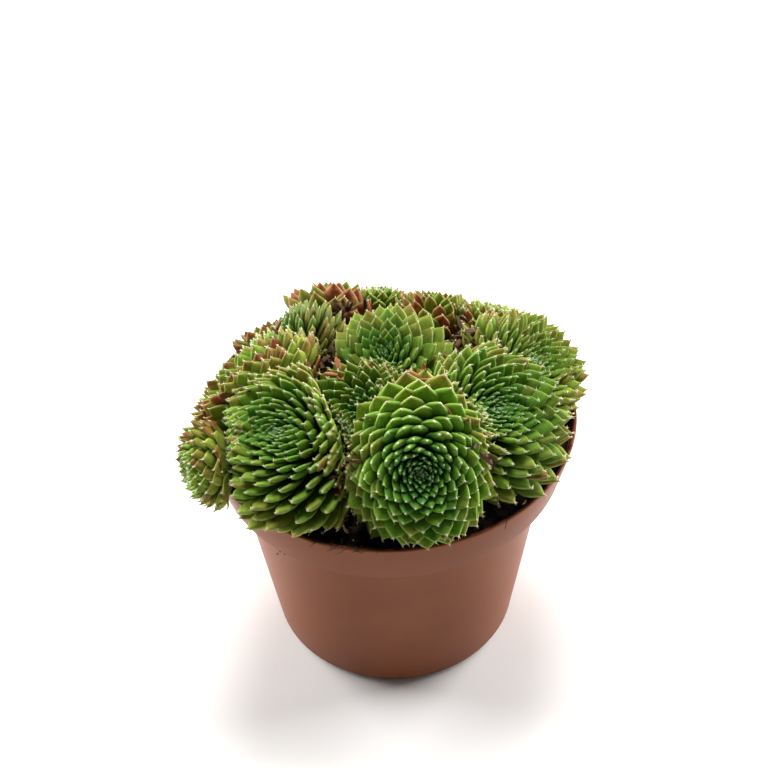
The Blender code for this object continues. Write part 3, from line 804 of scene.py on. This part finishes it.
def leaf_rings(rosette, turn, angle, length, width, blunt, thickness, twist):
    """The leaf's sections and its tip, with the way the tip points and the way its upper face looks."""
    outward = rosette.direction(turn)
    side = np.cross(rosette.axis, outward)
    out = rosette.outward(turn, angle)
    bent = rosette.bend * (rosette.over - (rosette.over @ out) * out)

    def spine(share):
        way = unit(out - (1 - share) * bent)
        return rosette.centre + length * (LEAF_ROOT + (1 - LEAF_ROOT) * share) * way

    half = 0.5 * width
    tip = spine(1.0)
    rings = []
    edge = []
    for share in LEAF_SHARES:
        middle = spine(share)
        ahead = unit(spine(share + 0.01) - middle)
        face = np.cross(side, ahead)
        if face @ outward > 0:
            face = -face
        face = unit(face * cos(twist * share) + side * sin(twist * share))
        across = np.cross(face, ahead)
        left = float(np.linalg.norm(tip - middle))
        pointed = (1 + (blunt * left / half) ** -LEAF_SHOULDER) ** (-1 / LEAF_SHOULDER)
        widening = float(smooth_step(0, FULL_BREADTH_FROM, share))
        broad = half * pointed * (ROOT_BREADTH + (1 - ROOT_BREADTH) * widening)
        closing = 1 - exp(-END_ROUNDING * left / half)
        deep = width * thickness * closing * (ROOT_DEPTH + (1 - ROOT_DEPTH) * share)
        for j in range(LEAF_SIDES):
            phi = 2 * pi * (j + 0.5) / LEAF_SIDES
            x = copysign(abs(cos(phi)) ** SECTION_POWER, cos(phi))
            z = sin(phi)
            if z > 0:
                height = UPPER_DEPTH * deep * z
            else:
                height = -LOWER_DEPTH * deep * ((1 - KEEL) * abs(z) + KEEL * abs(z) ** KEEL_POWER)
            rings.append(middle + across * x * broad + face * height)
            edge.append(abs(x))
    slack = np.array([*np.repeat(LEAF_SLACK, LEAF_SIDES), 0.0])
    points = rosette.squeeze(np.array([*rings, tip]), slack)
    ahead = unit(points[-1] - points[-1 - LEAF_SIDES : -1].mean(0))
    return points, ahead, face, np.array([*edge, 1.0])


def grow(rosette, gathering, random):
    """Adds all the leaves of a rosette, each with its bristle and hairs."""
    along = np.repeat(LEAF_SHARES, LEAF_SIDES).tolist() + [1.0]
    young, old = LEAF_THICKNESS
    for turn, angle, length, pitch, share in rosette.placed_leaves():
        turn += random.normal(0, TURN_SPREAD)
        angle += random.normal(0, ANGLE_SPREAD)
        length *= 1 + random.normal(0, LENGTH_SPREAD)
        grown = float(smooth_step(0.0, GROWN_FROM, share))
        width = pitch * (YOUNG_WIDTH_SHARE + (rosette.breadth - YOUNG_WIDTH_SHARE) * grown)
        width = hypot(width * random.uniform(*WIDTH_RANGE), YOUNGEST_WIDTH)
        thickness = young + (old - young) * grown
        blunt = rosette.blunt * (YOUNG_BLUNT + (1 - YOUNG_BLUNT) * grown)
        twist = random.normal(0, TWIST_SPREAD)
        points, ahead, face, edge = leaf_rings(rosette, turn, angle, length, width, blunt, thickness, twist)
        flush = rosette.flush * (FLUSH_LEAST + FLUSH_MORE * random.uniform() ** 2)
        chance = random.uniform()
        # Each leaf carries its rosette's painted light and shade, which scales its colour for how much light
        # falls on that rosette.
        looks = {"along": along, "edge": edge, "flush": flush, "chance": chance, "bright": rosette.bright}
        looks["age"] = rosette.light + (1 - rosette.light) * share
        gathering.put(points, LEAF_FACES, 0, **looks)
        tip = points[-1]
        way = unit(ahead + BRISTLE_LIFT * face)
        size = rosette.tuft * (YOUNGEST_BRISTLE + (1 - YOUNGEST_BRISTLE) * grown)
        root = tip - BRISTLE_ROOT * way
        spike = needle(root, way, BRISTLE_LENGTH * size, BRISTLE_RADIUS * size, 5, 2)
        gathering.put(spike, BRISTLE_FACES, 1, chance=chance, age=share)
        for _ in range(HAIRS):
            spread = unit(way + random.normal(0, HAIR_SPREAD, 3))
            hair_length = HAIR_LENGTH * size * random.uniform(*HAIR_LENGTH_RANGE)
            hair = needle(tip - HAIR_ROOT * way, spread, hair_length, HAIR_RADIUS * size, 3, 1)
            gathering.put(hair, HAIR_FACES, 1, chance=chance, age=share)


# The fleshy middle under the leaves, and the stem that stands in the peat.
CORE_SHARE = 0.5
CORE_MARGIN = 0.5
CORE_FLATTER_BELOW = 0.55
CORE_SIDES = 24
CORE_ROWS = 14
STEM_SIDES = 12


def grow_core(rosette, gathering):
    """Adds the dense middle that the leaves stand out of, and the stem down into the peat."""
    shape = bmesh.new()
    bmesh.ops.create_uvsphere(shape, u_segments=CORE_SIDES, v_segments=CORE_ROWS, radius=1.0)
    places, faces = points_and_faces(shape)
    points = []
    for x, y, z in places:
        angle = acos(max(-1.0, min(1.0, z)))
        turn = atan2(y, x)
        share = CORE_SHARE * rosette.reach_share(turn, angle, CORE_MARGIN)
        if angle > pi / 2:
            share *= 1 - CORE_FLATTER_BELOW * (angle / (pi / 2) - 1)
        reach = share * rosette.radius * float(dome(angle))
        points.append(rosette.centre + reach * rosette.outward(turn, angle))
    gathering.put(rosette.squeeze(np.array(points), 0.0), faces, 2)
    x, y = rosette.foot
    route = [(x, y, STEM_END), (x, y, LEAF_FLOOR)]
    if rosette.hangs:
        for reach, height in RUNNER_BENDS:
            route.append((x * reach / STEM_FOOT_RADIUS, y * reach / STEM_FOOT_RADIUS, height))
    route.append(tuple(rosette.centre))
    gathering.put(*tube(route, rosette.stem, STEM_SIDES), 2)


# Houseleek leaf: living tissue under a thin waxy cuticle. It is darker and bluer in the young middle and
# turns yellow-green outwards, light goes a little way into it, the margins are thin and pale, and the ends
# flush orange to red-brown in strong light. Its colour also carries painted shade and light: darker towards
# each leaf's root and lighter towards its end, and scaled over a whole rosette for how much light falls
# there.
leaf_matter, tree, shader = new_material("houseleek_leaf")
MOTTLE_MM = 2.4
FLECK_MM = 0.5
PAPILLA_MM = 0.3
place = add(tree, "TexCoord", out="Object")
along, edge, age, flush, chance, bright = (
    add(tree, "Attribute", out="Fac", attribute_name=label) for label in Gathering.PAINTED
)
mottle = add(
    tree, "TexNoise", {"Vector": place, "Scale": 1 / (MOTTLE_MM * MM), "Detail": 4.0, "Roughness": 0.6}
)
spread = add(tree, "Math", {0: chance, 1: 0.3, 2: -0.15}, operation="MULTIPLY_ADD")
ripeness = add(tree, "Math", {0: age, 1: spread}, operation="ADD")
greens = ((0.0, "34783A"), (0.22, "427E2C"), (0.5, "588A26"), (0.8, "74982E"), (1.0, "8A9838"))
green = add(tree, "ValToRGB", {"Fac": ripeness}, greens)
blotch = add(tree, "MapRange", {"Value": mottle, "To Min": 0.72, "To Max": 1.28})
# Painted shade and light along each leaf: darker towards its root, where the leaves above overlap it, and
# lighter towards its end.
painted_base_shade_tip_light = add(tree, "MapRange", {"Value": along, "From Min": 0.4, "To Min": 0.6, "To Max": 1.22})
fleck = add(tree, "TexNoise", {"Vector": place, "Scale": 1 / (FLECK_MM * MM), "Detail": 2.0})
flecks = {"From Min": 0.3, "From Max": 0.7, "To Min": 0.8, "To Max": 1.2}
flecked = add(tree, "MapRange", {"Value": fleck, **flecks})
# The leaf colour is scaled by the rosette's painted light and shade, by the painted shade at each leaf's root
# and light at its end, and by the real mottling and flecks.
for share in (blotch, painted_base_shade_tip_light, flecked):
    bright = add(tree, "Math", {0: bright, 1: share}, operation="MULTIPLY")
mottled_and_shaded = add(tree, "VectorMath", {0: green, "Scale": bright}, operation="SCALE")
flush_end = add(tree, "MapRange", {"Value": along, "From Min": 0.45})
flush_age = add(tree, "MapRange", {"Value": age, "From Min": 0.25, "From Max": 0.8})
flush_here = add(tree, "Math", {0: flush_end, 1: flush_age}, operation="MULTIPLY")
flushed = add(tree, "Math", {0: flush_here, 1: flush}, operation="MULTIPLY", use_clamp=True)
red = add(tree, "ValToRGB", {"Fac": mottle}, ((0.35, "65341D"), (0.65, "9A5A33")))
coloured = add(tree, "Mix", {0: flushed, 6: mottled_and_shaded, 7: red}, out=2, data_type="RGBA")
margin = add(tree, "MapRange", {"Value": edge, "From Min": 0.9, "To Max": 0.24})
coloured = add(tree, "Mix", {0: margin, 6: coloured, 7: linear("B7C486")}, out=2, data_type="RGBA")
tip_end = add(tree, "MapRange", {"Value": along, "From Min": 0.96, "To Max": 0.7})
coloured = add(tree, "Mix", {0: tip_end, 6: coloured, 7: linear("D2C48C")}, out=2, data_type="RGBA")
papilla = add(tree, "TexNoise", {"Vector": place, "Scale": 1 / (PAPILLA_MM * MM), "Detail": 2.0})
relief = add(tree, "Bump", {"Height": papilla, "Strength": 0.25, "Distance": 0.08 * MM})
gloss = add(tree, "MapRange", {"Value": mottle, "To Min": 0.52, "To Max": 0.7})
feed(shader, {"Base Color": coloured, "Roughness": gloss, "Normal": relief})
feed(shader, {"IOR": 1.42, "Specular IOR Level": 0.18, "Subsurface Weight": 0.12})
feed(shader, {"Subsurface Radius": (0.9, 1.0, 0.25), "Subsurface Scale": 0.8 * MM})

# The bristle and hairs at a leaf's tip: dry and whitish, matt, greener on the young leaves.
bristle_matter, tree, shader = new_material("dry_leaf_bristle")
age = add(tree, "Attribute", out="Fac", attribute_name="age")
pale = ((0.0, "8FB27C"), (0.3, "BFCFA2"), (0.7, "DBD6AE"), (1.0, "D6BD8A"))
feed(shader, {"Base Color": add(tree, "ValToRGB", {"Fac": age}, pale), "Roughness": 0.6})

# The stem: short, brown and fibrous, hidden among the leaf roots.
stem_matter, tree, shader = new_material("fibrous_stem")
BARK_MM = 1.2
place = add(tree, "TexCoord", out="Object")
fibre = add(
    tree, "TexNoise", {"Vector": place, "Scale": 1 / (BARK_MM * MM), "Detail": 5.0, "Distortion": 0.8}
)
bark = add(tree, "ValToRGB", {"Fac": fibre}, ((0.3, "17170C"), (0.6, "2B2D14"), (0.85, "54401F")))
relief = add(tree, "Bump", {"Height": fibre, "Strength": 0.7, "Distance": 0.3 * MM})
feed(shader, {"Base Color": bark, "Normal": relief, "Roughness": 0.85, "Specular IOR Level": 0.1})

for seed, (name, one) in enumerate(rosettes.items()):
    leaves = Gathering()
    grow_core(one, leaves)
    grow(one, leaves, np.random.default_rng(100 + seed))
    materials = [leaf_matter, bristle_matter, stem_matter]
    grown = piece(f"{name}_leaves", leaves.mesh(name), materials)
    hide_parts(name)


# Loose matter: withered leaves caught between the rosettes and under the lowest leaves, shrivelled and brown.
# Each clump: its middle, how far it spreads, how many leaves, their length, and how dark or orange they are.
CLUMPS = (
    ((19.0, -37.5, 119.5), (1.2, 1.5, 1.5), 5, (3.5, 5.0), (0.3, 0.8)),
    ((23.3, -42.3, 113.3), (1.2, 1.5, 2.0), 8, (3.5, 5.5), (0.1, 0.6)),
    ((27.3, -44.0, 106.7), (1.2, 1.5, 2.0), 9, (3.5, 5.5), (0.1, 0.6)),
    ((-5.7, -37.0, 119.8), (0.8, 0.8, 0.8), 3, (3.5, 4.5), (0.4, 0.8)),
    ((-9.5, -44.0, 111.5), (0.8, 1.0, 1.5), 6, (3.0, 4.5), (0.2, 0.7)),
    ((-15.5, -43.5, 102.5), (0.8, 1.0, 2.5), 10, (3.0, 5.0), (0.0, 0.6)),
    ((-15.0, -8.8, 111.3), (1.0, 1.0, 1.2), 5, (4.5, 6.0), (0.6, 0.95)),
    ((-19.4, 5.5, 104.6), (1.5, 1.5, 1.3), 18, (4.0, 6.0), (0.05, 0.5)),
    ((11.0, -24.5, 122.8), (2.2, 1.2, 0.8), 5, (3.5, 5.5), (0.6, 0.95)),
    ((24.8, 13.0, 104.5), (2.0, 2.2, 2.0), 20, (4.0, 6.0), (0.15, 0.6)),
    ((-12.8, 33.5, 102.3), (3.5, 1.5, 1.2), 14, (3.0, 5.0), (0.0, 0.45)),
    ((-28.8, 39.5, 99.8), (1.2, 1.0, 0.8), 4, (3.0, 4.5), (0.2, 0.6)),
    ((-34.0, 4.0, 116.0), (1.2, 1.2, 0.8), 5, (3.0, 4.5), (0.2, 0.7)),
    ((-40.5, -18.5, 113.8), (1.2, 1.0, 0.8), 5, (3.0, 4.5), (0.2, 0.7)),
    ((-15.5, -48.5, 88.5), (2.0, 2.0, 0.8), 7, (3.5, 5.5), (0.2, 0.7)),
    ((34.0, -42.0, 88.2), (3.0, 1.5, 0.6), 6, (3.5, 5.5), (0.1, 0.6)),
    ((50.0, -18.0, 89.0), (1.0, 3.0, 0.8), 5, (3.5, 5.5), (0.1, 0.6)),
)
WITHERED_SHARES = (0.0, 0.3, 0.55, 0.8, 0.94)
WITHERED_SIDES = 8
WITHERED_WIDTH = (0.36, 0.58)
WITHERED_ROOT_BREADTH = 0.35
WITHERED_WIDENING = 1.3
WITHERED_CURL = (-0.6, 0.9)
WITHERED_FOLD = (0.2, 0.7)
WITHERED_DEPTH = 0.22
WITHERED_CRUMPLE = 0.06
WITHERED_WAY = (0.0, -0.35, 0.7)
WITHERED_WAY_SPREAD = 0.5
WITHERED_FACES = loft_faces(len(WITHERED_SHARES), WITHERED_SIDES)


def shrivelled(random, start, way, length):
    """The points of a thin dry leaf, curled along its length and crumpled across it."""
    way = unit(way)
    side = unit(np.cross(way, random.normal(0, 1, 3)))
    face = np.cross(side, way)
    half = 0.5 * length * random.uniform(*WITHERED_WIDTH)
    curl = random.uniform(*WITHERED_CURL)
    points = []
    for share in WITHERED_SHARES:
        middle = start + length * (share * way + curl * share * share * face)
        broad = half * (WITHERED_ROOT_BREADTH + WITHERED_WIDENING * share) * sqrt(1 - share)
        fold = random.uniform(*WITHERED_FOLD)
        for j in range(WITHERED_SIDES):
            turn = 2 * pi * j / WITHERED_SIDES
            x = cos(turn)
            folded = WITHERED_DEPTH * half * sin(turn) + fold * broad * (x * x - 0.5)
            lift = folded + random.normal(0, WITHERED_CRUMPLE * half)
            points.append(middle + broad * x * side + lift * face)
    points.append(start + length * (way + curl * face))
    return np.array(points)


# Dry leaf skin: papery, matt, orange-brown where it has just dried and nearly black where it has lain long.
dry_matter, tree, shader = new_material("withered_leaf")
WRINKLE_MM = 0.7
place = add(tree, "TexCoord", out="Object")
chance = add(tree, "Attribute", out="Fac", attribute_name="chance")
wrinkle = add(
    tree, "TexNoise", {"Vector": place, "Scale": 1 / (WRINKLE_MM * MM), "Detail": 4.0, "Distortion": 0.6}
)
browns = ((0.0, "2C1F18"), (0.35, "5A4030"), (0.7, "8A5A3C"), (1.0, "B47A50"))
dried = add(tree, "ValToRGB", {"Fac": chance}, browns)
patchy = add(tree, "MapRange", {"Value": wrinkle, "To Min": 0.55, "To Max": 1.45})
papery = add(tree, "VectorMath", {0: dried, "Scale": patchy}, operation="SCALE")
relief = add(tree, "Bump", {"Height": wrinkle, "Strength": 0.6, "Distance": 0.15 * MM})
feed(shader, {"Base Color": papery, "Normal": relief, "Roughness": 0.78, "Specular IOR Level": 0.25})

dry_random = np.random.default_rng(31)
dry_leaves = Gathering()
for middle, spread, count, lengths, tones in CLUMPS:
    for _ in range(count):
        start = np.array(middle) + dry_random.normal(0, 1, 3) * spread
        way = dry_random.normal(0, WITHERED_WAY_SPREAD, 3) + WITHERED_WAY
        points = shrivelled(dry_random, start, way, dry_random.uniform(*lengths))
        dry_leaves.put(points, WITHERED_FACES, chance=dry_random.uniform(*tones))
piece("withered_leaves", dry_leaves.mesh("withered_leaves"), [dry_matter])

# One short plump leaf has dropped on the peat at the right, inside the rim. It tapers to its root.
DROPPED = (52.3, -24.5, 87.6)
DROPPED_SIZE = (4.6, 2.9, 1.7)
DROPPED_TURN = radians(38)
DROPPED_DIP = radians(-24)
DROPPED_TAPER = 0.45
# The dropped leaf carries the same painted light and shade value as the rosettes' leaves, here a little
# darker.
DROPPED_LOOKS = {"along": 0.7, "age": 0.55, "chance": 0.4, "bright": 0.9}
shape = bmesh.new()
bmesh.ops.create_uvsphere(shape, u_segments=20, v_segments=14, radius=0.5)
tilt = Matrix.Rotation(DROPPED_TURN, 3, "Z") @ Matrix.Rotation(DROPPED_DIP, 3, "Y")
for vertex in shape.verts:
    x, y, z = vertex.co
    taper = 1 - DROPPED_TAPER * max(0.0, -2 * x) ** 1.5
    spot = Vector((x * DROPPED_SIZE[0], y * DROPPED_SIZE[1] * taper, z * DROPPED_SIZE[2] * taper))
    vertex.co = (tilt @ spot + Vector(DROPPED)) * MM
dropped_mesh = mesh_from("dropped_leaf", shape)
for label, value in DROPPED_LOOKS.items():
    layer = dropped_mesh.attributes.new(label, "FLOAT", "POINT")
    layer.data.foreach_set("value", [value] * len(dropped_mesh.vertices))
piece("dropped_leaf", dropped_mesh, [leaf_matter])

# Fine roots: dark threads that lie over the rim at the left and among the crumbs at the front. Angles are in
# degrees round the pot from the right, so 270 is the front.
ROOTS = 34
ROOT_SIDES = 5
ROOT_BENDS = 7
ROOT_LENGTH = (3.0, 6.0)
ROOT_RADIUS = (0.1, 0.22)
ROOT_TAPER = 0.4
ROOT_CURL = 0.8
ROOT_WANDER = 0.25
ON_PEAT_AT = (236, 330)
ON_PEAT_RADIUS = (50, 57)
ON_PEAT_LIFT = 0.4
ON_RIM_AT = (226, 257)
ON_RIM_SPREAD = (-9, 7)
ON_RIM_IN = (1.0, 3.0)
ON_RIM_LIFT = 0.1
RIM_REACHED = 2.0
RIM_CLEAR = 0.15
HANG_SHARE = 0.78
root_random = np.random.default_rng(47)
threads = Gathering()
for i in range(ROOTS):
    if i < ROOTS // 2:
        turn = radians(root_random.choice(ON_RIM_AT) + root_random.uniform(*ON_RIM_SPREAD))
        out = np.array((cos(turn), sin(turn), 0.0))
        start = out * (RIM_RADIUS - root_random.uniform(*ON_RIM_IN))
        start[2] = RIM_HEIGHT - 0.6
        way = out + root_random.normal(0, 0.5, 3) * (1, 1, 0)
    else:
        turn = radians(root_random.uniform(*ON_PEAT_AT))
        start = np.array((cos(turn), sin(turn), 0.0)) * root_random.uniform(*ON_PEAT_RADIUS)
        start[2] = peat_height(start[0], start[1]) + ON_PEAT_LIFT
        way = root_random.normal(0, 1, 3) * (1, 1, 0.15)
    length = root_random.uniform(*ROOT_LENGTH)
    curl = root_random.normal(0, ROOT_CURL) * np.array((-way[1], way[0], 0.0))
    route = []
    for share in np.linspace(0, 1, ROOT_BENDS):
        wander = root_random.normal(0, ROOT_WANDER, 3)
        spot = start + (unit(way) + curl * share) * length * share + wander
        reach = float(np.hypot(spot[0], spot[1]))
        if reach > RIM_RADIUS - RIM_REACHED:
            spot[:2] *= min(1.0, (RIM_RADIUS + RIM_CLEAR) / reach)
            spot[2] = RIM_HEIGHT + ON_RIM_LIFT - HANG_SHARE * max(0.0, reach - RIM_RADIUS)
        route.append(spot)
    threads.put(*tube(route, root_random.uniform(*ROOT_RADIUS), ROOT_SIDES, ROOT_TAPER))
piece("fine_roots", threads.mesh("fine_roots"), [stem_matter])


# The floor is plain pale paper, and the light is a soft white tent: panels at both sides and a large one
# above.
FLOOR_SIZE = 8.0
FLOOR_DROP = 0.0005
shape = bmesh.new()
bmesh.ops.create_grid(shape, x_segments=1, y_segments=1, size=FLOOR_SIZE / 2)
floor = new_object("floor", mesh_from("floor", shape))
floor.location.z = -FLOOR_DROP
paper, tree, shader = new_material("pale_paper")
feed(shader, {"Base Color": linear("F2F1EF"), "Roughness": 0.9, "Specular IOR Level": 0.1})
floor.data.materials.append(paper)

# For each panel: where it stands, what it points at, its width and height, and its power in watts.
PANELS = {
    "panel_left": ((-0.7, 0.37, 0.24), (0.0, 0.0, 0.08), (0.6, 0.6), 17.5),
    "panel_right": ((0.7, 0.37, 0.24), (0.0, 0.0, 0.08), (0.6, 0.6), 18.2),
    "panel_above": ((0.0, 0.3, 1.0), (0.0, 0.0, 0.0), (0.45, 0.45), 11.2),
}
for name, (spot, target, (width, height), power) in PANELS.items():
    lamp = bpy.data.lights.new(name, "AREA")
    lamp.shape = "RECTANGLE"
    lamp.size = width
    lamp.size_y = height
    lamp.energy = power
    panel = new_object(name, lamp)
    panel.location = spot
    panel.rotation_euler = (Vector(target) - Vector(spot)).to_track_quat("-Z", "Y").to_euler()

ROOM_LIGHT = 0.12
world = bpy.data.worlds.new("studio")
world.use_nodes = True
background = world.node_tree.nodes["Background"]
feed(background, {"Color": (1.0, 1.0, 1.0, 1.0), "Strength": ROOM_LIGHT})
bpy.context.scene.world = world
bpy.context.scene.view_settings.view_transform = "Standard"

# The camera looks down on the pot from the front, a little rolled, as the photograph was taken.
CAMERA_RISE = radians(42.467)
CAMERA_ROLL = radians(-2.160)
FRAME_PIXELS = 768
FOCAL_PIXELS = 1488.0
RIM_IN_CAMERA = (1.659, -8.236, 476.553)
sine, cosine = sin(CAMERA_RISE), cos(CAMERA_RISE)
right = Vector((1.0, 0.0, 0.0))
forward = Vector((0.0, cosine, -sine))
up = Vector((0.0, sine, cosine))
rolled_right = cos(CAMERA_ROLL) * right + sin(CAMERA_ROLL) * up
rolled_up = -sin(CAMERA_ROLL) * right + cos(CAMERA_ROLL) * up
rim = Vector((0.0, 0.0, RIM_HEIGHT))
aside, above, away = RIM_IN_CAMERA
camera_place = (rim - (aside * rolled_right + above * rolled_up + away * forward)) * MM
camera_data = bpy.data.cameras.new("camera")
camera_data.sensor_width = 36.0
camera_data.lens = camera_data.sensor_width * FOCAL_PIXELS / FRAME_PIXELS
camera_data.clip_start = 0.01
camera = new_object("camera", camera_data)
turn = Matrix((rolled_right, rolled_up, -forward)).transposed()
camera.matrix_world = Matrix.Translation(camera_place) @ turn.to_4x4()
bpy.context.scene.camera = camera
